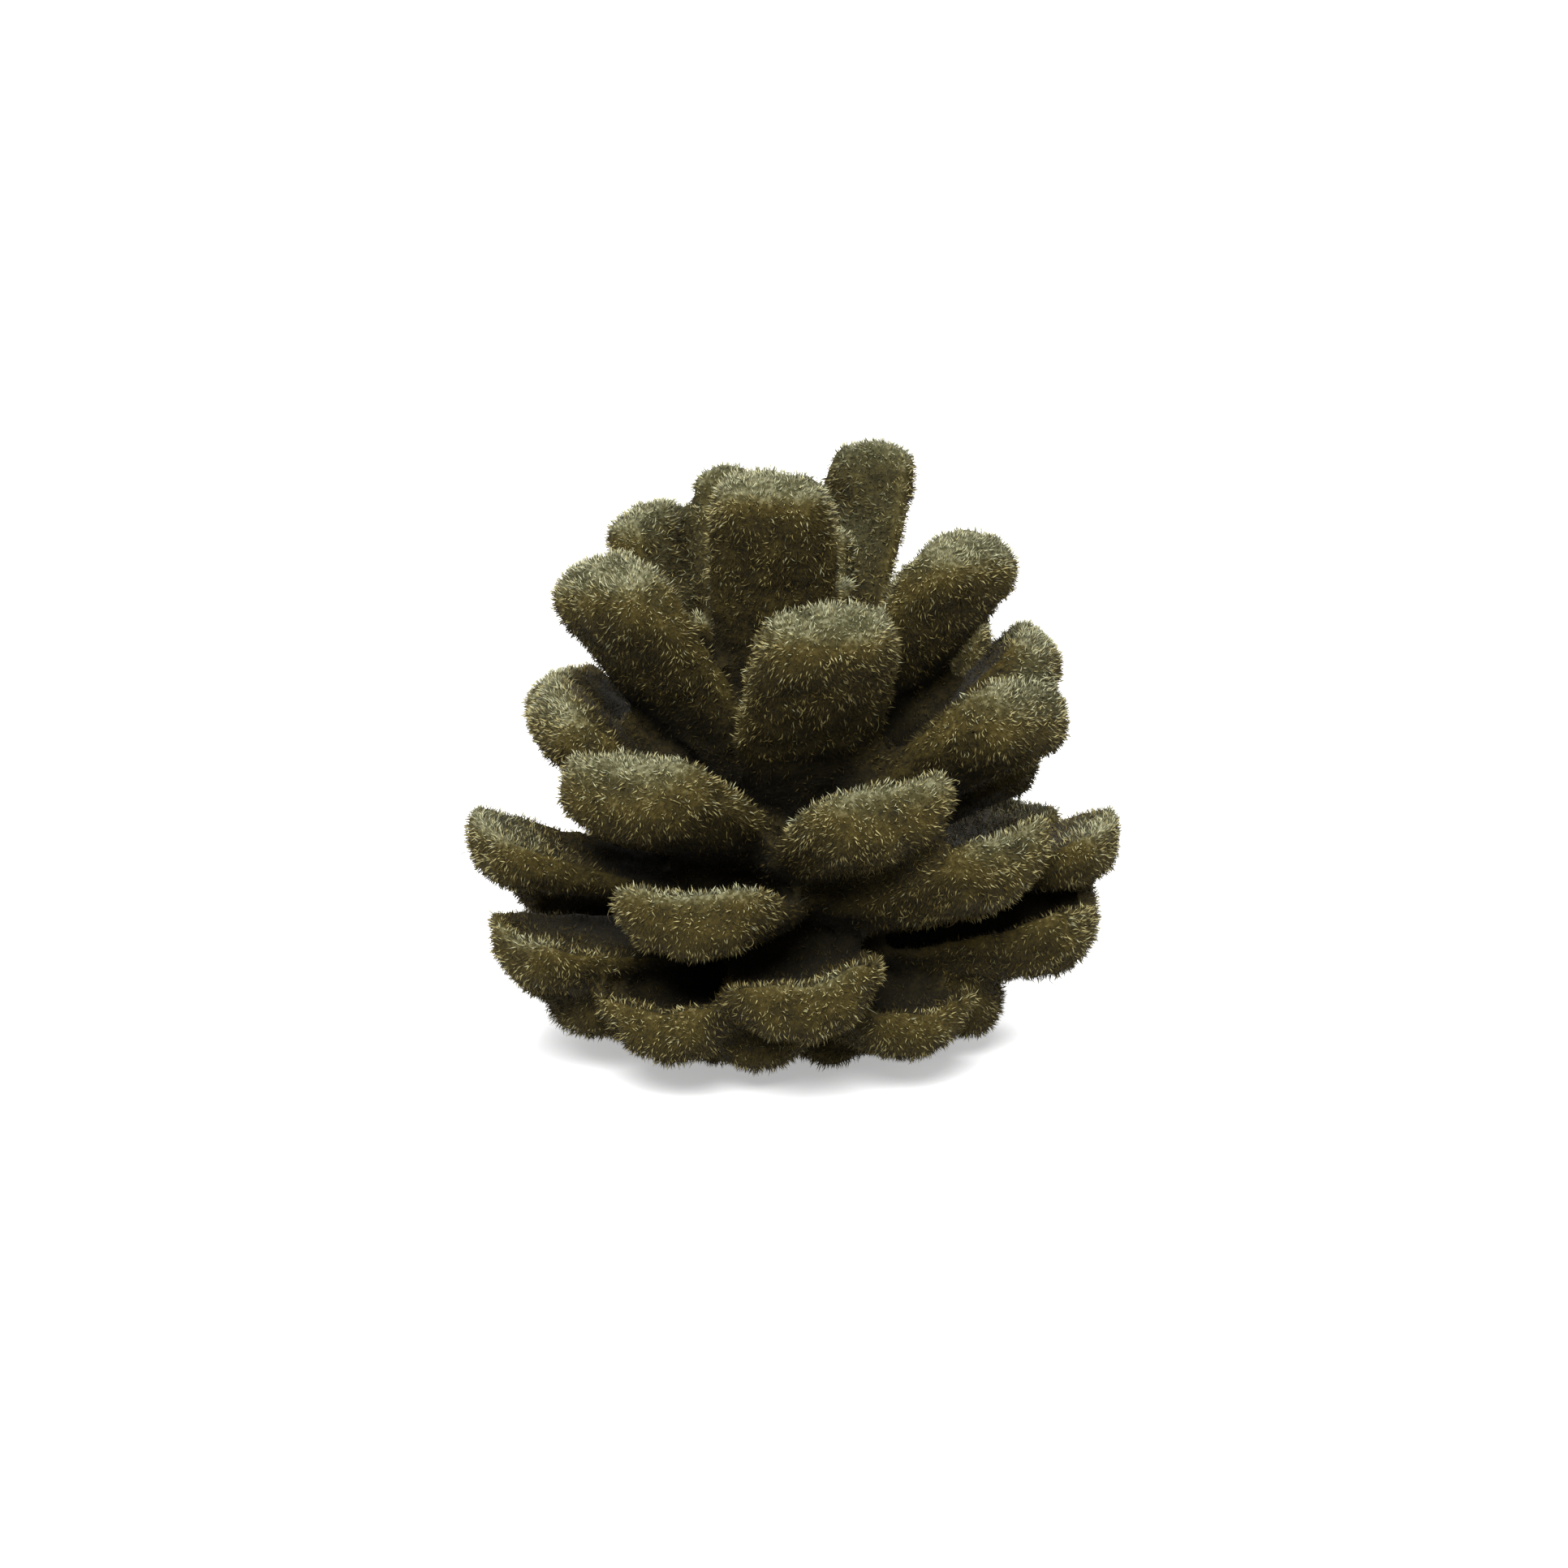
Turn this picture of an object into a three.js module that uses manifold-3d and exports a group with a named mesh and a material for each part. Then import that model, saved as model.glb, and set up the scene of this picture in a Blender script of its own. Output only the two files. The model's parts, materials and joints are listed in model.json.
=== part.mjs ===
// A dried, opened pine cone with a moss-green flocked finish, standing on its base.
// Millimetres, +Z up. The cone's axis is the Z axis, the origin is the middle of the stalk scar at the
// bottom, and the side that is seen from the front faces -Y.
// The scales grow on the rachis in one golden-angle spiral, from the small scales round the stalk scar
// to the small scales of the apex, and the whole cone is one grown piece.

import * as THREE from "three";
import { mergeVertices } from "three/addons/utils/BufferGeometryUtils.js";
import Module from "manifold-3d";

const wasm = await Module();
wasm.setup();

// Driving dimensions
const SCALE_COUNT = 62;
const GOLDEN_ANGLE = 137.508; // degrees from one scale to the next
const SPIRAL_HAND = -1; // the spiral climbs clockwise, seen from above
const FIRST_AZIMUTH = 209; // degrees from the front, towards +X

// Where the scale tips lie, from the lowest scale to the highest: radius from the axis, height
const TIP_PATH = new THREE.SplineCurve([
  new THREE.Vector2(9.5, 1),
  new THREE.Vector2(18, 3.4),
  new THREE.Vector2(25.5, 7.8),
  new THREE.Vector2(30.3, 15.4),
  new THREE.Vector2(31, 23.6),
  new THREE.Vector2(26, 38),
  new THREE.Vector2(18, 54.5),
  new THREE.Vector2(4, 46),
]);
const ROOT_RADIUS = 3; // the scale roots are sunk into the rachis

// Roots and shape of the scales at even steps from the lowest scale to the highest
const ROOT_HEIGHT = evenCurve(3, 5, 9, 13.5, 19, 26, 34);
const SCALE_WIDTH = evenCurve(8, 13, 16, 16.5, 17, 8);
const SCALE_THICKNESS = evenCurve(3, 4.6, 6.2, 6.2, 5.8, 3);
const TIP_WIDTH = evenCurve(1, 1, 1, 0.95, 0.8, 0.8); // at the tip, as a share of the width
const KNOB = evenCurve(0, 0, 0, 0.1, 0.35, 0.3); // swelling of the tip, as a share of the thickness
const KEEL = evenCurve(0, 0, 0, 0.05, 0.35, 0.35); // of the underside, as a share of its depth
const CUP = evenCurve(0.12, 0.12, 0.12, 0.06, -0.02, 0); // rise of the edges, as a share of the width
const UPPER_SHARE = evenCurve(0.16, 0.16, 0.16, 0.2, 0.36, 0.4); // of the thickness above the middle line
const TIP_CORNER = evenCurve(3, 3, 3, 3.6, 3.4, 0.6); // radius of the tip's corners, in mm
const UNDER_EDGE = evenCurve(4.5, 4.5, 4.5, 4.2, 2.8, 0.4); // radius of the tip's lower edge, in mm
const SQUARENESS = evenCurve(2, 2, 2.1, 2.6, 3, 2.6); // of the cross-section: 2 is an ellipse's

// Scales that grew off the rule: degrees turned towards +X, mm higher, mm further out, degrees rolled
// and, where it differs, the share of the full width and thickness
const GROWN_ASIDE = {
  4: [5, 1.8, 0, 0],
  7: [0, 1.5, -2, 0],
  9: [0, 1.5, -2.5, 0],
  12: [-8, 2, 0, -2],
  14: [-6, 0.8, -1.4, 0],
  15: [-7, 2.4, 1, -4],
  17: [2, 1, 0, 3],
  20: [-5, -0.4, 0.5, 2],
  22: [7, 4.2, 2, -2],
  23: [0, 0, -2, 0],
  25: [-7, -1.2, 0, 10],
  27: [0, 0, -1.5, -3],
  28: [-12, -1.8, 1, -8, 0.88],
  30: [0, 6.8, -1, 5],
  31: [-14, -2, -4, 0],
  33: [-9, 0.2, 0, 3],
  35: [0, -0.2, 1.2, 3, 0.88],
  36: [-2, -0.4, 1.2, -9, 0.88],
  38: [-5, 3, 0, 7],
  39: [0, 5.2, -4.6, 0],
  40: [0, -1.5, -4.5, 0],
  41: [-4.5, -0.8, -0.3, 5, 1.1],
  43: [7, 0.8, -0.2, -12, 1.06],
  44: [11, -2.4, -2.5, -9],
  46: [6.2, 4, 0.5, 2, 0.93],
  47: [-5, 0, 0, 0],
  48: [-7, -6.6, 2.2, -4],
  49: [-5.5, -0.4, -0.8, 9, 1.04],
  50: [0, -1.5, 0, 0],
  51: [16, -1.2, 2.9, -9],
  52: [-8, -1.7, -4.2, -4],
  53: [25, 2.8, -1, -6, 0.9],
  54: [12, 4, 0, -3, 1.1],
  55: [5, 2.4, -2, 0, 0.7],
  56: [5, -4.5, 2, 3],
  57: [0, -7.5, -1, 0, 0.6],
};
const SPREAD = [3, 1, 1, 6]; // the other scales vary by this much either way, in the same measures
const SEED = 7;
const DRAW_FACTOR = 16807; // of the repeatable stream of draws
const DRAW_MODULUS = 2147483647;

// Shape of one scale along its length s, from the root 0 to the tip 1, as shares of its full size
const ROOT_WIDTH = 0.5;
const FULL_WIDTH_AT = 0.55;
const ROOT_THICKNESS = 0.6;
const SWELL_FROM = 0.3; // where the scale begins to thicken towards its tip
const SWELL_TO = 0.9;
const SAG_LOW = 0.1; // belly of the lowest scale's middle line, as a share of its length
const SAG_HIGH = -0.02; // of the highest scale's, which is hooked outwards

// The blunt tip of a scale, in mm
const NECK = 6.5; // where the swollen knob begins, back from the end
const KNOB_FULL = 4; // where it is at its thickest
const UPPER_EDGE = 1.2; // radius of its upper edge
const ROUNDED_MOST = 0.75; // share of half a width or thickness that a corner may take up
const TIP_DOME = 0.6; // height of the end face's dome

// Rachis: radius and height of its outline, from the stalk scar to the apex
const RACHIS = [
  [4.5, 0],
  [7, 1.5],
  [8.5, 6],
  [8.5, 14],
  [7, 26],
  [4.5, 34],
  [2, 39],
];
const RACHIS_TOP = 40.5;
const RACHIS_SIDES = 14;
const TABLE_SIZE = 100; // of the block that is cut away below the cone

// Faceting
const ROOT_STATIONS = [0, 0.42]; // places along a scale
const TIP_STATIONS = [7, 3.6, 1.5, 0.4, 0]; // mm back from its end
const FULL_LENGTH = 18; // on shorter scales the tip's stations move closer together
const RING = [20, 90, 160, 200, 238, 270, 302, 340]; // degrees round a scale's cross-section

const radians = THREE.MathUtils.degToRad;
const smooth = (low, high, x) => THREE.MathUtils.smoothstep(x, low, high);
const mix = THREE.MathUtils.lerp;

// A smooth curve through values at even steps from 0 to 1
function evenCurve(...values) {
  return new THREE.SplineCurve(values.map((value, i) => new THREE.Vector2(i, value)));
}

// A repeatable stream of draws from -1 to 1
function drawStream(seed) {
  let state = seed;
  return () => {
    state = (state * DRAW_FACTOR) % DRAW_MODULUS;
    return (2 * state) / DRAW_MODULUS - 1;
  };
}
const draw = drawStream(SEED);

// The size and place of scale number n
function scaleAt(n) {
  const age = n / (SCALE_COUNT - 1);
  const chance = SPREAD.map((spread) => spread * draw());
  const [turn, rise, reach, roll, share = 1] = GROWN_ASIDE[n] ?? chance;
  const at = (curve) => curve.getPoint(age).y;
  const tip = TIP_PATH.getPoint(age).add(new THREE.Vector2(reach, rise));
  const root = new THREE.Vector2(ROOT_RADIUS, at(ROOT_HEIGHT));
  return {
    azimuth: radians(FIRST_AZIMUTH + SPIRAL_HAND * GOLDEN_ANGLE * n + turn),
    roll: radians(roll),
    length: root.distanceTo(tip),
    spine: spineOf(root, tip, mix(SAG_LOW, SAG_HIGH, age)),
    width: share * at(SCALE_WIDTH),
    thickness: share * at(SCALE_THICKNESS),
    tipWidth: at(TIP_WIDTH),
    knob: at(KNOB),
    keel: at(KEEL),
    cup: at(CUP),
    upperShare: at(UPPER_SHARE),
    tipCorner: at(TIP_CORNER),
    underEdge: at(UNDER_EDGE),
    squareness: at(SQUARENESS),
  };
}

// A scale's middle line in the plane of the axis, bellied away from the axis
function spineOf(root, tip, sag) {
  const chord = tip.clone().sub(root);
  const belly = new THREE.Vector2(chord.y, -chord.x).multiplyScalar(sag);
  const middle = root.clone().addScaledVector(chord, 0.5).addScaledVector(belly, 2);
  return new THREE.QuadraticBezierCurve(root, middle, tip);
}

// Half a size, rounded off by a corner's arc near the end of the scale
function rounded(half, corner, back) {
  const radius = Math.min(ROUNDED_MOST * half, corner);
  const inside = Math.max(0, radius - back);
  return half - radius + Math.sqrt(radius * radius - inside * inside);
}

// A cosine or sine, pushed out from the ellipse's towards the rectangle's
function squared(value, squareness) {
  return Math.sign(value) * Math.abs(value) ** (2 / squareness);
}

// Offset across and lift from the middle line, at an angle round the cross-section at s
function crossSection(scale, s, angle) {
  const back = (1 - s) * scale.length;
  const taper = mix(1, scale.tipWidth, smooth(FULL_WIDTH_AT, 1, s));
  const width = scale.width * mix(ROOT_WIDTH, taper, smooth(0, FULL_WIDTH_AT, s));
  const swell = mix(ROOT_THICKNESS, 1, smooth(SWELL_FROM, SWELL_TO, s));
  const thickness = scale.thickness * swell * (1 + scale.knob * (1 - smooth(KNOB_FULL, NECK, back)));
  const across = squared(Math.cos(angle), scale.squareness);
  const lift = squared(Math.sin(angle), scale.squareness);
  const upper = rounded(thickness * scale.upperShare, UPPER_EDGE, back);
  const keel = scale.keel * smooth(KNOB_FULL, NECK, back) * (1 - Math.abs(across));
  const under = rounded(thickness * (1 - scale.upperShare) * (1 + keel), scale.underEdge, back);
  return new THREE.Vector2(
    rounded(width / 2, scale.tipCorner, back) * across,
    scale.cup * width * across * across + (lift > 0 ? upper : under) * lift,
  );
}

// A point of the scale in the cone's frame, from its offset to the middle line at s
function placed(scale, s, offset, ahead = 0) {
  const { x: across, y: lift } = offset.clone().rotateAround(new THREE.Vector2(), scale.roll);
  const direction = scale.spine.getTangent(s);
  const at = scale.spine.getPoint(s).addScaledVector(direction, ahead);
  const radius = at.x - direction.y * lift;
  const height = at.y + direction.x * lift;
  const sin = Math.sin(scale.azimuth);
  const cos = Math.cos(scale.azimuth);
  return [radius * sin + across * cos, -radius * cos + across * sin, height];
}

// One scale as a closed faceted solid
function scaleSolid(n) {
  const scale = scaleAt(n);
  const onAxis = new THREE.Vector2();
  const endRing = RING.map((degrees) => crossSection(scale, 1, radians(degrees)));
  const tipMiddle = endRing.reduce((sum, offset) => sum.add(offset), new THREE.Vector2());
  tipMiddle.divideScalar(RING.length);
  const points = [];
  const tipStations = TIP_STATIONS.map((back) => 1 - back / Math.max(scale.length, FULL_LENGTH));
  for (const s of [...ROOT_STATIONS, ...tipStations]) {
    for (const degrees of RING) points.push(placed(scale, s, crossSection(scale, s, radians(degrees))));
  }
  const root = points.push(placed(scale, 0, onAxis)) - 1;
  const tip = points.push(placed(scale, 1, tipMiddle, TIP_DOME)) - 1;
  const faces = [];
  const last = points.length - 2 - RING.length;
  for (let j = 0; j < RING.length; j++) {
    const k = (j + 1) % RING.length;
    faces.push(root, k, j);
    for (let low = 0; low < last; low += RING.length) {
      const high = low + RING.length;
      faces.push(low + j, low + k, high + k, low + j, high + k, high + j);
    }
    faces.push(last + j, last + k, tip);
  }
  return solidFrom(points.flat(), faces);
}

// A manifold solid from plain lists of coordinates and corner numbers
function solidFrom(coordinates, corners) {
  return new wasm.Manifold(new wasm.Mesh({
    numProp: 3,
    vertProperties: new Float32Array(coordinates),
    triVerts: new Uint32Array(corners),
  }));
}

// A manifold solid from a closed three.js geometry
function solidOf(geometry) {
  geometry.deleteAttribute("normal");
  geometry.deleteAttribute("uv");
  const merged = mergeVertices(geometry);
  return solidFrom(merged.attributes.position.array, merged.index.array);
}

// The rachis, turned about the cone's axis
function rachisSolid() {
  const outline = [[0, 0], ...RACHIS, [0, RACHIS_TOP]].map(([r, z]) => new THREE.Vector2(r, z));
  return solidOf(new THREE.LatheGeometry(outline, RACHIS_SIDES).rotateX(Math.PI / 2));
}

// Everything below the table, to flatten what stands on it
function belowTable() {
  const block = new THREE.BoxGeometry(TABLE_SIZE, TABLE_SIZE, TABLE_SIZE);
  return solidOf(block.translate(0, 0, -TABLE_SIZE / 2));
}

// The rachis with every scale fused to it, flat where it stands on the table
function coneSolid() {
  let cone = rachisSolid();
  for (let n = 0; n < SCALE_COUNT; n++) cone = cone.add(scaleSolid(n));
  const bodies = cone.subtract(belowTable()).decompose();
  return bodies.reduce((a, b) => (b.volume() > a.volume() ? b : a));
}

function geometryOf(solid) {
  const mesh = solid.getMesh();
  return new THREE.BufferGeometry()
    .setAttribute("position", new THREE.BufferAttribute(mesh.vertProperties, 3))
    .setIndex(new THREE.BufferAttribute(mesh.triVerts, 1));
}

const flockedScale = new THREE.MeshStandardMaterial({ color: 0x6f6a4a, roughness: 0.95, metalness: 0 });
const cone = new THREE.Mesh(geometryOf(coneSolid()), flockedScale);
cone.name = "cone";

const part = new THREE.Group();
part.add(cone);

export default part;
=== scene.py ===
"""A dried, opened pine cone in a coat of moss-green flock, standing on a pale studio floor."""

import json
import logging
import math
from dataclasses import dataclass, field
from enum import Enum

import bpy
import numpy as np
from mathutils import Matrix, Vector
from mathutils.bvhtree import BVHTree

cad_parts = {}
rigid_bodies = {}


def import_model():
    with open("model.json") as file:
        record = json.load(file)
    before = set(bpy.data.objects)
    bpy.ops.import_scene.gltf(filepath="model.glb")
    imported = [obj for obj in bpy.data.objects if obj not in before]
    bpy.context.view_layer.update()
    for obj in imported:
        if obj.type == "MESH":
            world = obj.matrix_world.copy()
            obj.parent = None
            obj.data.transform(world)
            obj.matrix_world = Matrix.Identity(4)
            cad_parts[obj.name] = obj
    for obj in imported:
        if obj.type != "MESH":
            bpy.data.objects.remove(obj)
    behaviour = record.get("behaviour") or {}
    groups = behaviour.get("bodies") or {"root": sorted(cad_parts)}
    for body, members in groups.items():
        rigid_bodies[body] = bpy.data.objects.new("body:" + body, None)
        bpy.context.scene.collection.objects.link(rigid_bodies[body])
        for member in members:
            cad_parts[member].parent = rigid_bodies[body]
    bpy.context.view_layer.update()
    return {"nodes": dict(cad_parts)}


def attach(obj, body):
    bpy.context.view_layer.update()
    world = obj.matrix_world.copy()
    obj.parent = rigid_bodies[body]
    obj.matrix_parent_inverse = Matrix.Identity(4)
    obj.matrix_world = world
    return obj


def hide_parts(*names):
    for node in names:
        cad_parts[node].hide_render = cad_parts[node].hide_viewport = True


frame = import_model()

MM = 0.001
BAKE_MAP = "OFBake"
MIX_FIRST = 6  # the colour sockets of a mix node
MIX_SECOND = 7
MIX_RESULT = 2
TINY = 1e-12  # keeps a division clear of zero
log = logging.getLogger("pine_cone")


def select_only(obj: bpy.types.Object) -> None:
    """Makes obj the only selected and the active object.

    Args:
        obj: The object that the next operators act on.
    """
    for other in bpy.context.selected_objects:
        other.select_set(False)
    obj.select_set(True)
    bpy.context.view_layer.objects.active = obj


def apply_modifiers(obj: bpy.types.Object) -> None:
    """Applies every modifier of obj, from the first to the last.

    Args:
        obj: The object whose modifiers become part of its mesh.
    """
    select_only(obj)
    for name in [modifier.name for modifier in obj.modifiers]:
        bpy.ops.object.modifier_apply(modifier=name)


def move_vertices(obj: bpy.types.Object, chosen: list[bool],
                  shift: tuple[float, float, float]) -> None:
    """Moves some vertices of obj in edit mode.

    Args:
        obj: The object whose mesh is shaped.
        chosen: Which vertices move, in the mesh's order.
        shift: How far they move.
    """
    select_only(obj)
    bpy.ops.object.mode_set(mode="EDIT")
    bpy.ops.mesh.select_mode(type="VERT")
    bpy.ops.mesh.select_all(action="DESELECT")
    bpy.ops.object.mode_set(mode="OBJECT")
    for vertex, picked in zip(obj.data.vertices, chosen):
        vertex.select = picked
    bpy.ops.object.mode_set(mode="EDIT")
    bpy.ops.transform.translate(value=shift)
    bpy.ops.object.mode_set(mode="OBJECT")


def eased(values: np.ndarray, low: float, high: float) -> np.ndarray:
    """Maps values from low to high smoothly onto 0 to 1.

    Args:
        values: The values to map.
        low: What becomes 0.
        high: What becomes 1.

    Returns:
        The mapped values, held to 0 and 1 outside the span.
    """
    share = np.clip((values - low) / (high - low), 0.0, 1.0)
    return share * share * (3.0 - 2.0 * share)


def unit(rows: np.ndarray) -> np.ndarray:
    """Returns the rows of an array of vectors, each with length 1."""
    return rows / np.maximum(np.linalg.norm(rows, axis=1, keepdims=True), TINY)


def vertex_places(mesh: bpy.types.Mesh) -> np.ndarray:
    """Returns the vertices of a mesh as rows of x, y and z."""
    flat = np.empty(len(mesh.vertices) * 3)
    mesh.vertices.foreach_get("co", flat)
    return flat.reshape(-1, 3)


def vertex_normals(mesh: bpy.types.Mesh) -> np.ndarray:
    """Returns the vertex normals of a mesh as rows of x, y and z."""
    flat = np.empty(len(mesh.vertices) * 3)
    mesh.vertex_normals.foreach_get("vector", flat)
    return flat.reshape(-1, 3)


def triangle_corners(mesh: bpy.types.Mesh) -> np.ndarray:
    """Returns the vertex numbers of a mesh's triangles, three to a row."""
    mesh.calc_loop_triangles()
    flat = np.empty(len(mesh.loop_triangles) * 3, dtype=np.int32)
    mesh.loop_triangles.foreach_get("vertices", flat)
    return flat.reshape(-1, 3)


class Tier(Enum):
    """Zones of the cone from the base to the apex, each with a flock piece of its own."""

    BASE = "flock_base"
    LOWER = "flock_lower_scales"
    MIDDLE = "flock_middle_scales"
    UPPER = "flock_upper_scales"
    CROWN = "flock_crown"


class Strand(Enum):
    """Forms of one flock fibre."""

    STRAIGHT = "straight"
    BENT = "bent"
    CURLED = "curled"


@dataclass(frozen=True)
class MossTones:
    """Colours of the flock, from the dark warm fibres to the pale sage ones. The cool sage ramp is
    drawn on sky-lit places as painted cool skylight.
    """

    warm_dark: tuple[float, float, float] = (0.010, 0.007, 0.001)
    warm_middle: tuple[float, float, float] = (0.122, 0.086, 0.012)
    warm_pale: tuple[float, float, float] = (0.640, 0.550, 0.240)
    cool_dark: tuple[float, float, float] = (0.012, 0.012, 0.004)
    cool_middle: tuple[float, float, float] = (0.130, 0.124, 0.050)
    cool_pale: tuple[float, float, float] = (0.680, 0.670, 0.410)
    # Fibres are drawn darker towards their roots, down to this share: painted shade between the fibres.
    root_shade: float = 0.1

    def group(self) -> bpy.types.NodeTree:
        """Builds the node group that gives a fibre's colour at a place along it, drawn darker towards
        the root as painted shade.

        Returns:
            The shader node group, with inputs Paleness, Coolness and Along and output Color.
        """
        tree = bpy.data.node_groups.get("moss_tone")
        if tree:
            return tree
        tree = bpy.data.node_groups.new("moss_tone", "ShaderNodeTree")
        for name in ("Paleness", "Coolness", "Along"):
            tree.interface.new_socket(name, in_out="INPUT", socket_type="NodeSocketFloat")
        tree.interface.new_socket("Color", in_out="OUTPUT", socket_type="NodeSocketColor")
        entry = tree.nodes.new("NodeGroupInput")
        exit_node = tree.nodes.new("NodeGroupOutput")
        warm = self.ramp(tree, (self.warm_dark, self.warm_middle, self.warm_pale))
        cool = self.ramp(tree, (self.cool_dark, self.cool_middle, self.cool_pale))
        blend = tree.nodes.new("ShaderNodeMix")
        blend.data_type = "RGBA"
        shade = tree.nodes.new("ShaderNodeMapRange")
        shade.inputs["To Min"].default_value = self.root_shade
        shaded = tree.nodes.new("ShaderNodeMix")
        shaded.data_type = "RGBA"
        shaded.blend_type = "MULTIPLY"
        shaded.inputs["Factor"].default_value = 1.0
        tree.links.new(entry.outputs["Paleness"], warm.inputs["Fac"])
        tree.links.new(entry.outputs["Paleness"], cool.inputs["Fac"])
        tree.links.new(entry.outputs["Coolness"], blend.inputs["Factor"])
        tree.links.new(entry.outputs["Along"], shade.inputs["Value"])
        tree.links.new(warm.outputs["Color"], blend.inputs[MIX_FIRST])
        tree.links.new(cool.outputs["Color"], blend.inputs[MIX_SECOND])
        tree.links.new(blend.outputs[MIX_RESULT], shaded.inputs[MIX_FIRST])
        tree.links.new(shade.outputs["Result"], shaded.inputs[MIX_SECOND])
        tree.links.new(shaded.outputs[MIX_RESULT], exit_node.inputs["Color"])
        return tree

    def ramp(self, tree: bpy.types.NodeTree,
             colours: tuple[tuple[float, float, float], ...]) -> bpy.types.Node:
        """Makes a ramp from dark to pale.

        Args:
            tree: The node group that the ramp is for.
            colours: The dark, middle and pale colours.

        Returns:
            The ramp's node.
        """
        node = tree.nodes.new("ShaderNodeValToRGB")
        node.color_ramp.elements.new(0.5)
        for number, colour in enumerate(colours):
            element = node.color_ramp.elements[number]
            element.position = number / (len(colours) - 1)
            element.color = (*colour, 1.0)
        return node


@dataclass(frozen=True)
class ToneRule:
    """How pale and how cool the flock is drawn, by where it sits on the cone.

    The own and tuft shares are the fibres' random tone. The sky and rim shares add paleness as painted
    light: sky-lit places are drawn paler and rims carry a painted highlight. The least values are what
    is left of it in hollows, underneath and on faces that look at the axis, which is painted shade. The
    cool shares draw cool sage fibres on sky-lit places as painted cool skylight. The spans are the
    light's reach over which each effect fades.
    """

    ground: float = 0.05
    own_share: float = 0.8
    tuft_share: float = 0.1
    sky_share: float = 0.16
    rim_highlight_share: float = 0.26
    hollow_least: float = 0.36
    under_least: float = 0.66
    inner_least: float = 0.72
    cool_least: float = 0.08
    cool_share: float = 0.85
    sky_span: tuple[float, float] = (0.35, 0.7)
    hollow_span: tuple[float, float] = (0.02, 0.4)
    under_span: tuple[float, float] = (0.1, 0.34)
    cool_span: tuple[float, float] = (0.33, 0.72)
    darkest: float = 0.02
    palest: float = 0.98

    def paleness(self, own: np.ndarray, tuft: np.ndarray, setting: dict[str, np.ndarray]) -> np.ndarray:
        """Works out how pale the flock is drawn: its random tone, with painted light on sky-lit places
        and rims and painted shade in hollows, underneath and on faces that look at the axis.

        Args:
            own: Each fibre's own paleness, from 0 to 1.
            tuft: How pale its tuft is, about -1 to 1.
            setting: How open, sky-lit, edge-like and inward-facing its root is, each from 0 to 1.

        Returns:
            The paleness, from 0 to 1.
        """
        skylight = setting["skylight"]
        out_of_hollow = eased(setting["openness"], *self.hollow_span)
        out_from_under = eased(skylight, *self.under_span)
        pale = self.ground + self.own_share * own + self.tuft_share * tuft
        # Paler where sky-lit: painted light.
        pale = pale + self.sky_share * eased(skylight, *self.sky_span)
        # Paler on rims: painted highlight.
        pale = pale + self.rim_highlight_share * setting["edge"]
        # Darker in hollows, underneath and on faces that look at the axis: painted shade.
        pale = pale * (self.hollow_least + (1.0 - self.hollow_least) * out_of_hollow)
        pale = pale * (self.under_least + (1.0 - self.under_least) * out_from_under)
        pale = pale * (1.0 - (1.0 - self.inner_least) * setting["inward"])
        return np.clip(pale, self.darkest, self.palest)

    def coolness(self, skylight: np.ndarray) -> np.ndarray:
        """Returns the share of cool sage fibres, from 0 to 1, drawn on sky-lit places as painted cool
        skylight.
        """
        return self.cool_least + self.cool_share * eased(skylight, *self.cool_span)


@dataclass(frozen=True)
class FlockFinish:
    """Matt fibre finish: its colour comes from each fibre's own map of tone and length.

    On that map the left half holds the warm fibres and the right half the cool ones, each from dark
    to pale, and its height is the length of the fibre. The cool half is painted cool skylight on sky-lit
    places, the tone from dark to pale holds painted light and shade besides each fibre's random tone,
    and each fibre is drawn darker towards its root as painted shade.
    """

    tones: MossTones = MossTones()
    roughness: float = 0.75
    gloss: float = 0.25

    def material(self) -> bpy.types.Material:
        """Builds the fibres' material.

        Returns:
            The material that every flock piece shares.
        """
        material = bpy.data.materials.new("moss_flock_fibre")
        material.use_nodes = True
        nodes = material.node_tree.nodes
        links = material.node_tree.links
        shader = nodes["Principled BSDF"]
        shader.inputs["Roughness"].default_value = self.roughness
        shader.inputs["Specular IOR Level"].default_value = self.gloss
        fibre_map = nodes.new("ShaderNodeUVMap")
        fibre_map.uv_map = BAKE_MAP
        split = nodes.new("ShaderNodeSeparateXYZ")
        doubled = nodes.new("ShaderNodeMath")
        doubled.operation = "MULTIPLY"
        doubled.inputs[1].default_value = 2.0
        pale = nodes.new("ShaderNodeMath")
        pale.operation = "FRACT"
        cool = nodes.new("ShaderNodeMath")
        cool.operation = "GREATER_THAN"
        cool.inputs[1].default_value = 0.5
        tone = nodes.new("ShaderNodeGroup")
        tone.node_tree = self.tones.group()
        links.new(fibre_map.outputs["UV"], split.inputs["Vector"])
        links.new(split.outputs["X"], doubled.inputs[0])
        links.new(split.outputs["X"], cool.inputs[0])
        links.new(doubled.outputs["Value"], pale.inputs[0])
        links.new(pale.outputs["Value"], tone.inputs["Paleness"])
        links.new(cool.outputs["Value"], tone.inputs["Coolness"])
        links.new(split.outputs["Y"], tone.inputs["Along"])
        links.new(tone.outputs["Color"], shader.inputs["Base Color"])
        return material


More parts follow.
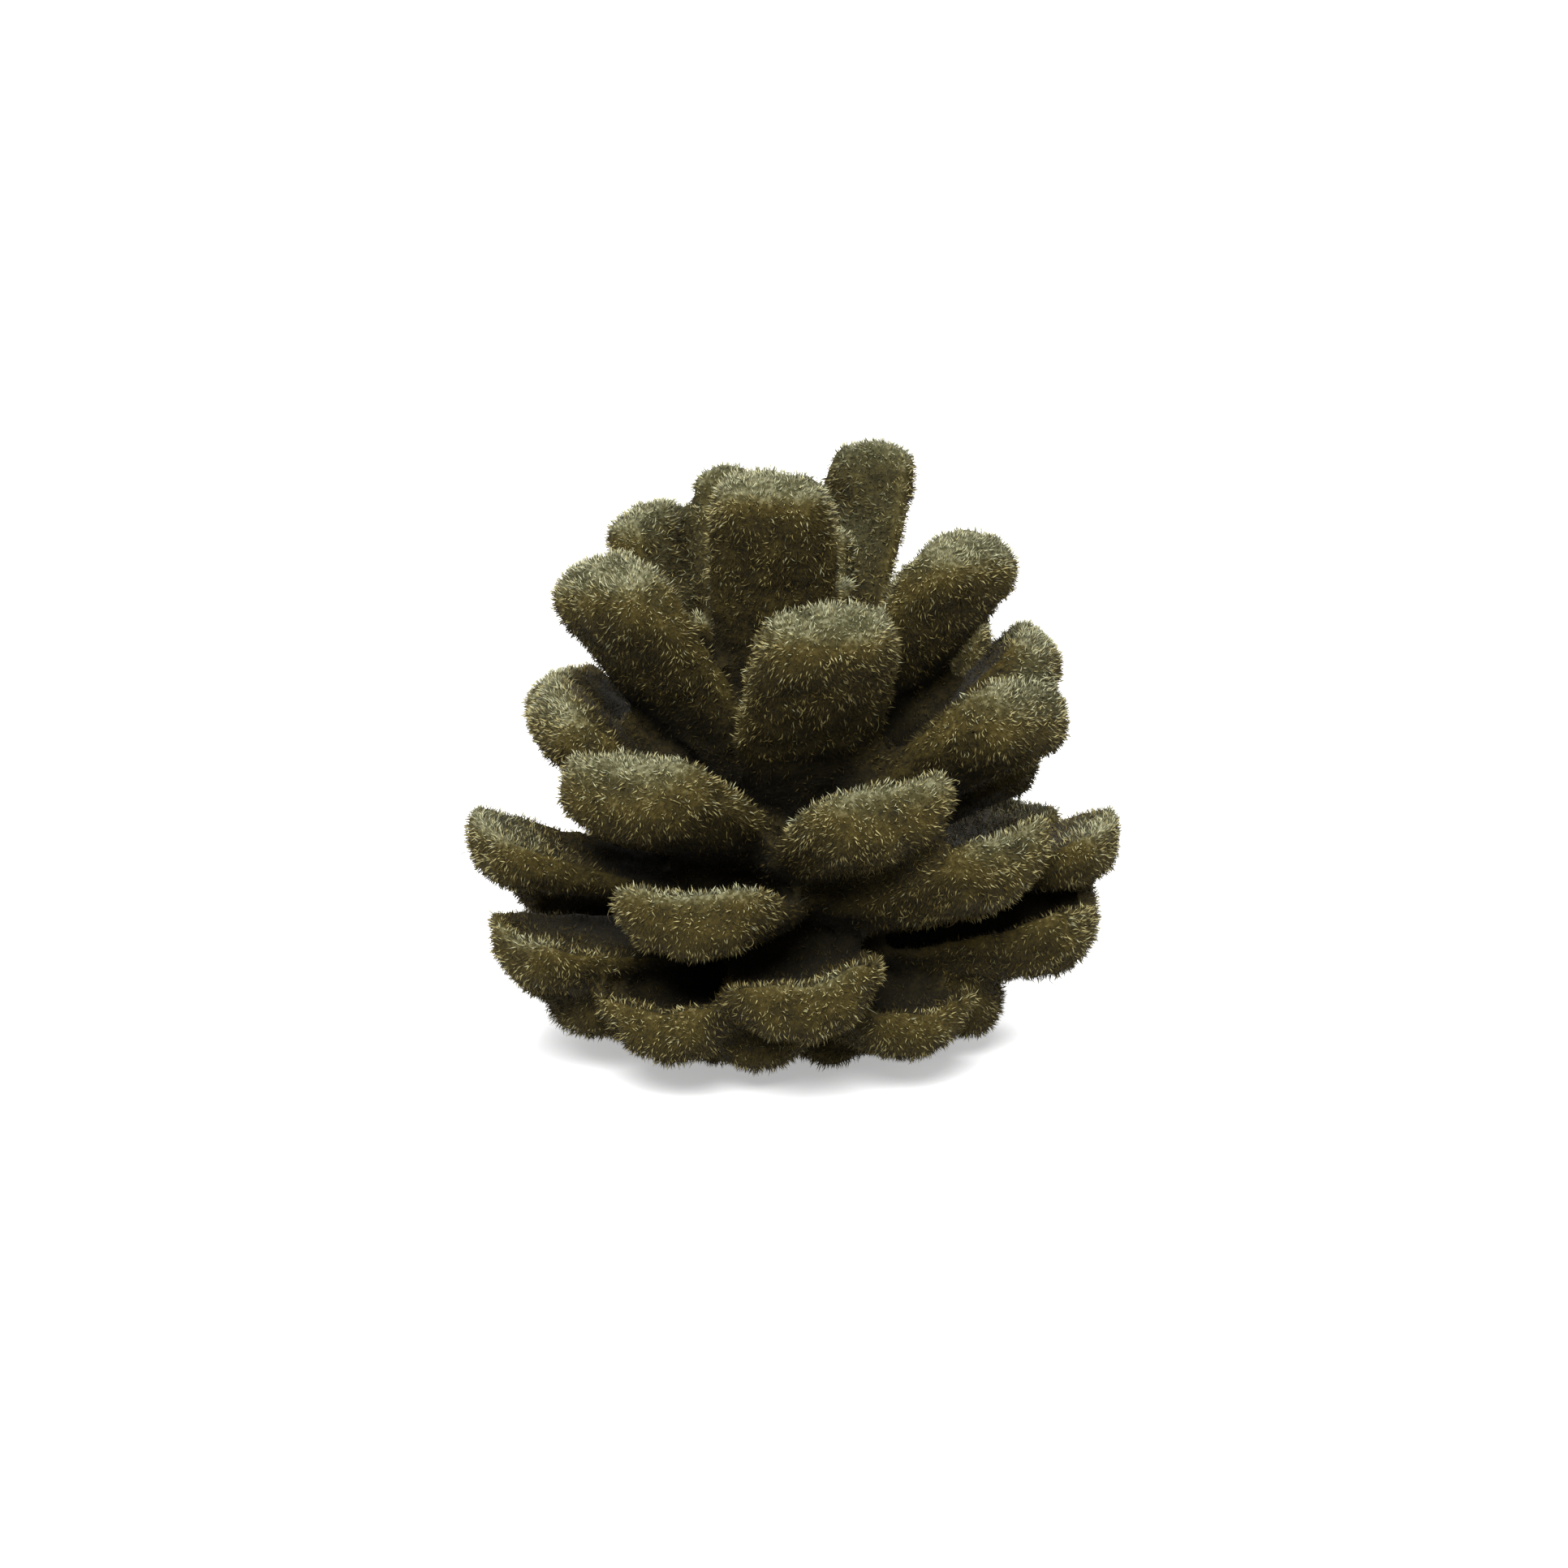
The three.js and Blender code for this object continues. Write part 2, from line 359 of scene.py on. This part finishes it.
@dataclass(frozen=True)
class ScaleFinish:
    """Glued ground of the flock on the woody scales: dark olive, finely speckled and rough. It takes the
    flock's tones with their painted light and shade, and is drawn darker as painted shade under the
    fibres.
    """

    tones: MossTones = MossTones()
    roughness: float = 0.9
    gloss: float = 0.2
    speckle: float = 0.35
    speckle_size: float = 0.5 * MM
    speckle_detail: float = 3.0
    speckle_span: tuple[float, float] = (0.35, 0.7)
    grain_size: float = 0.3 * MM
    grain_detail: float = 2.0
    grain_height: float = 0.15 * MM
    # Where along a fibre the ground's colour is read, which darkens it: painted shade under the fibres.
    depth: float = 0.35

    def material(self) -> bpy.types.Material:
        """Builds the material of the scales under the fibres.

        Returns:
            The material, which reads the body's own paleness, coolness and openness attributes.
        """
        material = bpy.data.materials.new("flocked_scale_ground")
        material.use_nodes = True
        nodes = material.node_tree.nodes
        links = material.node_tree.links
        shader = nodes["Principled BSDF"]
        shader.inputs["Roughness"].default_value = self.roughness
        shader.inputs["Specular IOR Level"].default_value = self.gloss
        place = nodes.new("ShaderNodeTexCoord")
        speckles = nodes.new("ShaderNodeTexNoise")
        speckles.inputs["Scale"].default_value = 1.0 / self.speckle_size
        speckles.inputs["Detail"].default_value = self.speckle_detail
        spread = nodes.new("ShaderNodeMapRange")
        spread.inputs["From Min"].default_value = self.speckle_span[0]
        spread.inputs["From Max"].default_value = self.speckle_span[1]
        spread.inputs["To Max"].default_value = self.speckle
        pale = nodes.new("ShaderNodeAttribute")
        pale.attribute_name = "paleness"
        cool = nodes.new("ShaderNodeAttribute")
        cool.attribute_name = "coolness"
        openness = nodes.new("ShaderNodeAttribute")
        openness.attribute_name = "openness"
        # The speckles fade in hollows as the openness falls: painted shade.
        own = nodes.new("ShaderNodeMath")
        own.operation = "MULTIPLY_ADD"
        tone = nodes.new("ShaderNodeGroup")
        tone.node_tree = self.tones.group()
        # Read partway along a fibre, so the ground is drawn darker: painted shade under the fibres.
        tone.inputs["Along"].default_value = self.depth
        grain = nodes.new("ShaderNodeTexNoise")
        grain.inputs["Scale"].default_value = 1.0 / self.grain_size
        grain.inputs["Detail"].default_value = self.grain_detail
        bump = nodes.new("ShaderNodeBump")
        bump.inputs["Distance"].default_value = self.grain_height
        links.new(place.outputs["Object"], speckles.inputs["Vector"])
        links.new(place.outputs["Object"], grain.inputs["Vector"])
        links.new(speckles.outputs["Fac"], spread.inputs["Value"])
        links.new(spread.outputs["Result"], own.inputs[0])
        links.new(openness.outputs["Fac"], own.inputs[1])
        links.new(pale.outputs["Fac"], own.inputs[2])
        links.new(own.outputs["Value"], tone.inputs["Paleness"])
        links.new(cool.outputs["Fac"], tone.inputs["Coolness"])
        links.new(tone.outputs["Color"], shader.inputs["Base Color"])
        links.new(grain.outputs["Fac"], bump.inputs["Height"])
        links.new(bump.outputs["Normal"], shader.inputs["Normal"])
        return material


@dataclass
class ConeBody:
    """The cone's rachis and scales as one smooth, slightly lumpy body under the flock."""

    weld: float = 0.001 * MM
    voxel: float = 0.72 * MM
    smoothing: float = 0.5
    smoothing_rounds: int = 1
    flock_depth: float = 0.45 * MM
    lump_size: float = 2.6 * MM
    lump_height: float = 0.8 * MM
    lump_octaves: int = 2
    ray_count: int = 28
    ray_slant: float = 0.1
    ray_reach: float = 40.0 * MM
    ray_lift: float = 0.4 * MM
    edge_rounds: int = 12
    rim_height: float = 0.4 * MM
    inward_most: float = 0.6
    blend_rounds: int = 6
    tone_rule: ToneRule = ToneRule()
    obj: bpy.types.Object | None = None
    setting: dict[str, np.ndarray] = field(default_factory=dict)

    def build(self) -> bpy.types.Object:
        """Models the body from the cone's solid: merged, rounded, sunk and made lumpy.

        Returns:
            The body's object.
        """
        mesh = frame["nodes"]["cone"].data.copy()
        mesh.materials.clear()
        self.obj = bpy.data.objects.new("scale_body", mesh)
        bpy.context.scene.collection.objects.link(self.obj)
        select_only(self.obj)
        bpy.ops.object.mode_set(mode="EDIT")
        bpy.ops.mesh.select_all(action="SELECT")
        bpy.ops.mesh.remove_doubles(threshold=self.weld)
        bpy.ops.object.mode_set(mode="OBJECT")
        remesh = self.obj.modifiers.new("fine_skin", "REMESH")
        remesh.mode = "VOXEL"
        remesh.voxel_size = self.voxel
        rounding = self.obj.modifiers.new("rounded", "SMOOTH")
        rounding.factor = self.smoothing
        rounding.iterations = self.smoothing_rounds
        sunk = self.obj.modifiers.new("sunk_for_flock", "DISPLACE")
        sunk.mid_level = 0.0
        sunk.strength = -self.flock_depth
        lumps = bpy.data.textures.new("scale_lumps", "CLOUDS")
        lumps.noise_scale = self.lump_size
        lumps.noise_depth = self.lump_octaves
        lumpy = self.obj.modifiers.new("lumpy", "DISPLACE")
        lumpy.texture = lumps
        lumpy.texture_coords = "LOCAL"
        lumpy.strength = self.lump_height
        apply_modifiers(self.obj)
        bpy.ops.object.shade_smooth()
        return self.obj

    def study(self) -> None:
        """Measures how each vertex is set on the cone, and stores the tones that follow from it: painted
        light and shade for the ground.
        """
        mesh = self.obj.data
        places = vertex_places(mesh)
        normals = vertex_normals(mesh)
        openness, skylight = self.light_reach(places, normals)
        heights = np.sum((places - self.blurred(places, self.edge_rounds)) * normals, axis=1)
        from_axis = unit(places * np.array([1.0, 1.0, 0.0]))
        self.setting = {
            "openness": self.blurred(openness, self.blend_rounds),
            "skylight": self.blurred(skylight, self.blend_rounds),
            "edge": np.clip(heights / self.rim_height, 0.0, 1.0),
            "inward": eased(-np.sum(normals * from_axis, axis=1), 0.0, self.inward_most),
        }
        plain = np.zeros(len(places))
        # The ground's painted light and shade: openness for darker hollows, and paleness and coolness by
        # the tone rule.
        stored = {
            "openness": eased(self.setting["openness"], *self.tone_rule.hollow_span),
            "paleness": self.tone_rule.paleness(plain, plain, self.setting),
            "coolness": self.tone_rule.coolness(self.setting["skylight"]),
        }
        for name, values in stored.items():
            layer = mesh.attributes.new(name, "FLOAT", "POINT")
            layer.data.foreach_set("value", values.astype(np.float32))

    def light_reach(self, places: np.ndarray, normals: np.ndarray) -> tuple[np.ndarray, np.ndarray]:
        """Casts rays from each vertex to find how much light reaches it.

        Args:
            places: The vertices, one to a row.
            normals: Their normals, one to a row.

        Returns:
            How open each vertex is all round, and how open to the sky, from 0 to 1.
        """
        tree = BVHTree.FromPolygons(places.tolist(), triangle_corners(self.obj.data).tolist())
        open_sum = np.zeros(len(places))
        weight_sum = np.zeros(len(places))
        sky_sum = np.zeros(len(places))
        starts = [Vector(start) for start in places + normals * self.ray_lift]
        for ray in self.sphere_directions():
            facing = normals @ ray
            direction = Vector(ray)
            for i in np.nonzero(facing > self.ray_slant)[0]:
                hit = tree.ray_cast(starts[i], direction, self.ray_reach)[0]
                weight_sum[i] += facing[i]
                if hit is None:
                    open_sum[i] += facing[i]
                    sky_sum[i] += facing[i] * max(ray[2], 0.0)
        return open_sum / np.maximum(weight_sum, TINY), sky_sum / max(sky_sum.max(), TINY)

    def sphere_directions(self) -> np.ndarray:
        """Returns evenly spread directions over the sphere, one to a row."""
        k = np.arange(self.ray_count) + 0.5
        z = 1.0 - 2.0 * k / self.ray_count
        turn = math.pi * (1.0 + math.sqrt(5.0)) * k
        ring = np.sqrt(1.0 - z * z)
        return np.stack([ring * np.cos(turn), ring * np.sin(turn), z], axis=1)

    def blurred(self, values: np.ndarray, rounds: int) -> np.ndarray:
        """Evens out values over the body's surface.

        Args:
            values: One value, or one row of values, to a vertex.
            rounds: How often each vertex takes the mean of its neighbours.

        Returns:
            The evened values.
        """
        mesh = self.obj.data
        edges = np.empty(len(mesh.edges) * 2, dtype=np.int32)
        mesh.edges.foreach_get("vertices", edges)
        edges = edges.reshape(-1, 2)
        smooth = values.reshape(len(values), -1)
        count = np.maximum(np.bincount(edges.ravel(), minlength=len(values)), 1)[:, None]
        for _ in range(rounds):
            total = np.zeros_like(smooth)
            np.add.at(total, edges[:, 0], smooth[edges[:, 1]])
            np.add.at(total, edges[:, 1], smooth[edges[:, 0]])
            smooth = total / count
        return smooth.reshape(values.shape)

    def dress(self, finish: ScaleFinish) -> None:
        """Gives the body its finish, its place in the frame and the node that it stands for.

        Args:
            finish: The ground of the flock.
        """
        self.obj.data.materials.append(finish.material())
        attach(self.obj, "root")
        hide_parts("cone")


@dataclass(frozen=True)
class WaveField:
    """A smooth random field in space, summed from plane waves."""

    wavelength: float
    waves: int = 14
    shortest_share: float = 0.6
    longest_share: float = 1.6

    def values(self, places: np.ndarray, channels: int, draws: np.random.Generator) -> np.ndarray:
        """Samples the field.

        Args:
            places: Points in space, one to a row.
            channels: How many independent values each point gets.
            draws: The seeded stream of random numbers.

        Returns:
            The values, one row to a point, about -1 to 1 in size.
        """
        field_values = np.zeros((len(places), channels))
        for channel in range(channels):
            headings = unit(draws.normal(size=(self.waves, 3)))
            shares = draws.uniform(self.shortest_share, self.longest_share, self.waves)
            pitches = 2.0 * math.pi / (self.wavelength * shares)
            phases = draws.uniform(0.0, 2.0 * math.pi, self.waves)
            swings = np.sin(places @ (headings * pitches[:, None]).T + phases)
            field_values[:, channel] = swings.sum(axis=1) / math.sqrt(self.waves / 2.0)
        return field_values


@dataclass
class Fibre:
    """One flock fibre modelled at unit length along +Z, to be copied over the body."""

    strand: Strand
    thickness: float
    bend: float = 0.0
    curl_steps: int = 6
    places: np.ndarray = field(default_factory=lambda: np.empty((0, 3)))
    corners: np.ndarray = field(default_factory=lambda: np.empty((0, 3), dtype=np.int32))

    def build(self) -> "Fibre":
        """Models the fibre and keeps its vertices and triangles.

        Returns:
            The fibre itself.
        """
        bpy.ops.object.select_all(action="DESELECT")
        makers = {
            Strand.STRAIGHT: self.spike,
            Strand.BENT: self.bent_spindle,
            Strand.CURLED: self.curled_hair,
        }
        obj = makers[self.strand]()
        self.places = vertex_places(obj.data)
        self.corners = triangle_corners(obj.data)
        mesh = obj.data
        bpy.data.objects.remove(obj)
        bpy.data.meshes.remove(mesh)
        return self

    def spike(self) -> bpy.types.Object:
        """Models a straight three-sided spike that is open at its root.

        Returns:
            The spike's object.
        """
        bpy.ops.mesh.primitive_cone_add(
            vertices=3, radius1=self.thickness / 2, depth=1.0, end_fill_type="NOTHING",
            location=(0, 0, 0.5))
        bpy.ops.object.transform_apply(location=True, rotation=True, scale=True)
        return bpy.context.active_object

    def bent_spindle(self) -> bpy.types.Object:
        """Models a closed spindle of six triangles that is bowed at its middle.

        Returns:
            The spindle's object.
        """
        bpy.ops.mesh.primitive_cone_add(
            vertices=3, radius1=self.thickness / 2, depth=0.5, end_fill_type="TRIFAN",
            location=(0, 0, 0.75))
        bpy.ops.object.transform_apply(location=True, rotation=True, scale=True)
        obj = bpy.context.active_object
        on_axis = [math.hypot(v.co.x, v.co.y) < self.thickness / 8 for v in obj.data.vertices]
        root = [near and v.co.z < 0.75 for near, v in zip(on_axis, obj.data.vertices)]
        move_vertices(obj, root, (0, 0, -0.5))
        move_vertices(obj, [not near for near in on_axis], (self.bend, 0, 0))
        return obj

    def curled_hair(self) -> bpy.types.Object:
        """Models a long hair by extruding a triangle along a curl and closing its tip.

        Returns:
            The hair's object.
        """
        bpy.ops.mesh.primitive_circle_add(vertices=3, radius=self.thickness / 2)
        obj = bpy.context.active_object
        bpy.ops.object.mode_set(mode="EDIT")
        bpy.ops.mesh.select_all(action="SELECT")
        heading = -0.5 * self.bend
        for _ in range(self.curl_steps):
            move = (math.sin(heading) / self.curl_steps, 0, math.cos(heading) / self.curl_steps)
            bpy.ops.mesh.extrude_region_move(TRANSFORM_OT_translate={"value": move})
            heading += self.bend * 2.0 / self.curl_steps
        bpy.ops.mesh.merge(type="CENTER")
        bpy.ops.object.mode_set(mode="OBJECT")
        return obj


@dataclass(frozen=True)
class Layer:
    """One layer of the flock, with the least and the most of what varies from fibre to fibre.

    The leans are degrees from the surface's normal. The favour is how far the layer keeps to open
    places: 0 spreads it evenly.
    """

    fibre: Fibre
    count: int
    lengths: tuple[float, float]
    leans: tuple[float, float]
    tones: tuple[float, float]
    favour: float


@dataclass
class FlockCoat:
    """The coat of short fibres glued all over the cone, split into tiers.

    Fibres stand more upright on rims and are shorter in sheltered places. Depth, gain and shares
    have no unit. The chart width is the room across that one fibre has on its map.
    """

    body: ConeBody
    layers: tuple[Layer, ...] = (
        Layer(Fibre(Strand.STRAIGHT, 0.16), 120_000, (0.4 * MM, 0.7 * MM), (5, 60), (0.0, 0.4), 0.9),
        Layer(Fibre(Strand.STRAIGHT, 0.15), 85_000, (0.5 * MM, 0.9 * MM), (5, 65), (0.05, 0.8), 1.0),
        Layer(Fibre(Strand.BENT, 0.115, 0.12), 36_000, (0.6 * MM, 1.15 * MM), (10, 72), (0.9, 1.0), 1.0),
        Layer(Fibre(Strand.CURLED, 0.03, 1.6), 160, (1.6 * MM, 3.2 * MM), (10, 60), (0.5, 0.9), 0.8),
    )
    root_depth: float = 0.12
    openness_gain: float = 1.6
    hollow_share: float = 0.03
    rim_upright: float = 0.6
    sheltered_length: float = 0.75
    full_length_at: float = 0.5
    lowest: float = 0.02 * MM
    chart_width: float = 0.008
    whorls: WaveField = WaveField(4.0 * MM)
    tufts: WaveField = WaveField(1.8 * MM)
    own_lean: float = 1.6
    seed: int = 20

    def build(self, finish: FlockFinish) -> list[bpy.types.Object]:
        """Spreads the fibres over the body and makes one piece for each tier.

        Args:
            finish: The fibres' finish.

        Returns:
            The flock pieces, from the base to the crown.
        """
        draws = np.random.default_rng(self.seed)
        spreads = [self.spread(layer, draws) for layer in self.layers]
        material = finish.material()
        sizes = [np.full(len(kind["height"]), len(kind["corners"])) for kind in spreads]
        weights = np.concatenate(sizes)
        heights = np.concatenate([kind["height"] for kind in spreads])
        order = np.argsort(heights)
        share = np.cumsum(weights[order]) / weights.sum()
        limits = [heights[order][np.searchsorted(share, k / len(Tier))] for k in range(1, len(Tier))]
        pieces = []
        for number, tier in enumerate(Tier):
            parts = [self.tier_part(kind, limits, number) for kind in spreads]
            pieces.append(self.piece(tier.value, parts, material))
        return pieces

    def spread(self, layer: Layer, draws: np.random.Generator) -> dict[str, np.ndarray]:
        """Copies one layer's fibre to many places on the body.

        Args:
            layer: The layer to spread.
            draws: The seeded stream of random numbers.

        Returns:
            The copies' vertices and map, shaped by fibre, with the fibre's corners and root heights.
        """
        fibre = layer.fibre.build()
        count = layer.count
        mesh = self.body.obj.data
        places = vertex_places(mesh)
        normals = vertex_normals(mesh)
        corners = triangle_corners(mesh)
        a, b, c = (places[corners[:, k]] for k in range(3))
        areas = np.linalg.norm(np.cross(b - a, c - a), axis=1) / 2
        open_share = self.body.setting["openness"][corners].mean(axis=1)
        liking = np.clip(open_share * self.openness_gain, self.hollow_share, 1.0)
        weights = areas * ((1.0 - layer.favour) + layer.favour * liking)
        chosen = draws.choice(len(corners), size=count, p=weights / weights.sum())
        u = np.sqrt(draws.random(count))
        v = draws.random(count)
        shares = np.stack([1.0 - u, u * (1.0 - v), u * v], axis=1)
        at = np.einsum("nk,nkd->nd", shares, places[corners[chosen]])
        out = unit(np.einsum("nk,nkd->nd", shares, normals[corners[chosen]]))
        setting = {
            name: np.einsum("nk,nk->n", shares, values[corners[chosen]])
            for name, values in self.body.setting.items()
        }
        sweep = self.whorls.values(at, 3, np.random.default_rng(self.seed + 1))
        sweep += self.own_lean * draws.normal(size=(count, 3))
        side = unit(sweep - out * np.sum(sweep * out, axis=1, keepdims=True))
        least_lean, most_lean = layer.leans
        lean_span = (most_lean - least_lean) * (1.0 - self.rim_upright * setting["edge"])
        lean = np.radians(least_lean + lean_span * draws.random(count))
        along = unit(out * np.cos(lean)[:, None] + side * np.sin(lean)[:, None])
        bow = unit(np.cross(along, unit(draws.normal(size=(count, 3)))))
        third = np.cross(along, bow)
        shortest, longest = layer.lengths
        length = shortest + (longest - shortest) * draws.random(count)
        in_the_open = np.clip(setting["openness"] / self.full_length_at, 0.0, 1.0)
        length *= self.sheltered_length + (1.0 - self.sheltered_length) * in_the_open
        local = fibre.places - np.array([0.0, 0.0, self.root_depth])
        axes = np.stack([bow, third, along], axis=1)
        vertices = at[:, None, :] + length[:, None, None] * np.einsum("mk,nkd->nmd", local, axes)
        vertices[:, :, 2] = np.maximum(vertices[:, :, 2], self.lowest)
        tuft = self.tufts.values(at, 1, np.random.default_rng(self.seed + 2))[:, 0]
        return {
            "vertices": vertices,
            "corners": fibre.corners,
            "tone": self.tones_of(layer, setting, tuft, draws),
            "along": np.clip(fibre.places[:, 2], 0.0, 1.0),
            "across": fibre.places[:, 0],
            "height": at[:, 2],
        }

    def tones_of(self, layer: Layer, setting: dict[str, np.ndarray], tuft: np.ndarray,
                 draws: np.random.Generator) -> np.ndarray:
        """Chooses each fibre's tone: its random tone, drawn cool and pale where the sky is open as
        painted skylight, and warm and darker elsewhere as painted shade.

        Args:
            layer: The layer that the fibres belong to.
            setting: How each root is set on the cone.
            tuft: How pale its tuft is, about -1 to 1.
            draws: The seeded stream of random numbers.

        Returns:
            The tones, from 0 to 1.
        """
        count = len(tuft)
        darkest, palest = layer.tones
        own = darkest + (palest - darkest) * draws.random(count)
        # Paleness and coolness by where the root sits: painted light and shade.
        paleness = self.body.tone_rule.paleness(own, tuft, setting)
        cool = draws.random(count) < self.body.tone_rule.coolness(setting["skylight"])
        return 0.5 * paleness + 0.5 * cool

    def tier_part(self, kind: dict[str, np.ndarray], limits: list[float],
                  number: int) -> dict[str, np.ndarray]:
        """Picks the fibres of one tier.

        Args:
            kind: The copies of one fibre, as spread gives them.
            limits: Heights that part the tiers.
            number: The tier's number from the base.

        Returns:
            The same data for that tier alone.
        """
        mine = np.digitize(kind["height"], limits) == number
        return {**kind, "vertices": kind["vertices"][mine], "tone": kind["tone"][mine]}

    def piece(self, name: str, parts: list[dict[str, np.ndarray]],
              material: bpy.types.Material) -> bpy.types.Object:
        """Makes one object of a tier's fibres.

        Args:
            name: The piece's name.
            parts: The tier's fibres of each form.
            material: The fibres' material.

        Returns:
            The new object.
        """
        vertices, corners, maps = [], [], []
        start = 0
        for part in parts:
            fibres, size = part["vertices"].shape[:2]
            faces = part["corners"]
            numbers = start + np.arange(fibres)[:, None, None] * size + faces[None]
            spot = part["across"] / max(np.ptp(part["across"]), TINY) * self.chart_width
            u = part["tone"][:, None] + spot[None]
            v = np.broadcast_to(part["along"][None], u.shape)
            chart = np.stack([u, v], axis=2)
            vertices.append(part["vertices"].reshape(-1, 3))
            corners.append(numbers.reshape(-1, 3))
            maps.append(chart[:, faces].reshape(-1, 2))
            start += fibres * size
        all_vertices = np.concatenate(vertices)
        all_corners = np.concatenate(corners)
        mesh = bpy.data.meshes.new(name)
        mesh.vertices.add(len(all_vertices))
        mesh.vertices.foreach_set("co", all_vertices.astype(np.float32).ravel())
        mesh.loops.add(all_corners.size)
        mesh.loops.foreach_set("vertex_index", all_corners.astype(np.int32).ravel())
        mesh.polygons.add(len(all_corners))
        mesh.polygons.foreach_set("loop_start", np.arange(len(all_corners), dtype=np.int32) * 3)
        layer = mesh.uv_layers.new(name=BAKE_MAP)
        layer.uv.foreach_set("vector", np.concatenate(maps).astype(np.float32).ravel())
        mesh.update(calc_edges=True)
        mesh.validate()
        mesh.materials.append(material)
        obj = bpy.data.objects.new(name, mesh)
        bpy.context.scene.collection.objects.link(obj)
        select_only(obj)
        bpy.ops.object.shade_smooth()
        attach(obj, "root")
        return obj


@dataclass
class Studio:
    """Pale floor, a soft dome of light, soft lamps before and behind, and the camera at the front."""

    floor_size: float = 12.0
    floor_colour: tuple[float, float, float] = (0.8, 0.8, 0.8)
    floor_glow: float = 0.4
    zenith: float = 1.2
    horizon: float = 0.3
    front_strength: float = 5.0
    back_strength: float = 2.2
    lamp_spread: float = 24.0
    lamp_azimuth: float = -5.0
    lamp_elevation: float = 36.0
    camera_distance: float = 450 * MM
    camera_elevation: float = 12.0
    camera_lens: float = 107.3
    camera_sensor: float = 36.0
    aim_height: float = 26.0 * MM

    def build(self) -> None:
        """Makes the floor, the lights and the camera."""
        self.floor()
        self.lights()
        self.camera()

    def floor(self) -> None:
        """Makes the plain floor that the cone stands on, which throws no light back on it."""
        bpy.ops.object.select_all(action="DESELECT")
        bpy.ops.mesh.primitive_plane_add(size=self.floor_size)
        floor = bpy.context.active_object
        floor.name = "studio_floor"
        material = bpy.data.materials.new("studio_floor")
        material.use_nodes = True
        shader = material.node_tree.nodes["Principled BSDF"]
        shader.inputs["Base Color"].default_value = (*self.floor_colour, 1.0)
        shader.inputs["Emission Strength"].default_value = self.floor_glow
        shader.inputs["Roughness"].default_value = 1.0
        shader.inputs["Specular IOR Level"].default_value = 0.0
        floor.data.materials.append(material)
        floor.visible_diffuse = False

    def lights(self) -> None:
        """Makes the soft dome of light, bright overhead, and the two soft lamps."""
        world = bpy.data.worlds.new("studio_dome")
        world.use_nodes = True
        nodes = world.node_tree.nodes
        links = world.node_tree.links
        heading = nodes.new("ShaderNodeTexCoord")
        split = nodes.new("ShaderNodeSeparateXYZ")
        fade = nodes.new("ShaderNodeMapRange")
        fade.inputs["To Min"].default_value = self.horizon
        fade.inputs["To Max"].default_value = self.zenith
        links.new(heading.outputs["Generated"], split.inputs["Vector"])
        links.new(split.outputs["Z"], fade.inputs["Value"])
        links.new(fade.outputs["Result"], nodes["Background"].inputs["Strength"])
        nodes["Background"].inputs["Color"].default_value = (1.0, 1.0, 1.0, 1.0)
        bpy.context.scene.world = world
        self.lamp("soft_front_lamp", self.front_strength, self.lamp_azimuth)
        self.lamp("soft_back_lamp", self.back_strength, self.lamp_azimuth + 180.0)

    def lamp(self, name: str, strength: float, azimuth: float) -> None:
        """Makes one soft lamp that looks down at the cone.

        Args:
            name: The lamp's name.
            strength: Its strength.
            azimuth: The side that it stands on, in degrees from the front towards +X.
        """
        lamp = bpy.data.lights.new(name, "SUN")
        lamp.energy = strength
        lamp.angle = math.radians(self.lamp_spread)
        holder = bpy.data.objects.new(name, lamp)
        turn = math.radians(azimuth)
        rise = math.radians(self.lamp_elevation)
        level = math.cos(rise)
        towards = Vector((math.sin(turn) * level, -math.cos(turn) * level, math.sin(rise)))
        holder.rotation_euler = (-towards).to_track_quat("-Z", "Y").to_euler()
        bpy.context.scene.collection.objects.link(holder)

    def camera(self) -> None:
        """Makes the camera at the photograph's angle."""
        lens = bpy.data.cameras.new("camera")
        lens.lens = self.camera_lens
        lens.sensor_width = self.camera_sensor
        view = bpy.data.objects.new("camera", lens)
        rise = math.radians(self.camera_elevation)
        target = Vector((0.0, 0.0, self.aim_height))
        back = Vector((0.0, -math.cos(rise), math.sin(rise)))
        view.location = target + back * self.camera_distance
        view.rotation_euler = (-back).to_track_quat("-Z", "Y").to_euler()
        bpy.context.scene.collection.objects.link(view)
        bpy.context.scene.camera = view
        bpy.context.scene.view_settings.view_transform = "Standard"


def main() -> None:
    """Builds the cone's body, its flock and the studio, in that order."""
    logging.basicConfig(level=logging.INFO)
    body = ConeBody()
    body.build()
    body.study()
    body.dress(ScaleFinish())
    log.info("scale_body: %d faces", len(body.obj.data.polygons))
    for piece in FlockCoat(body).build(FlockFinish()):
        log.info("%s: %d triangles", piece.name, len(piece.data.polygons))
    Studio().build()


if __name__ == "__main__":
    main()
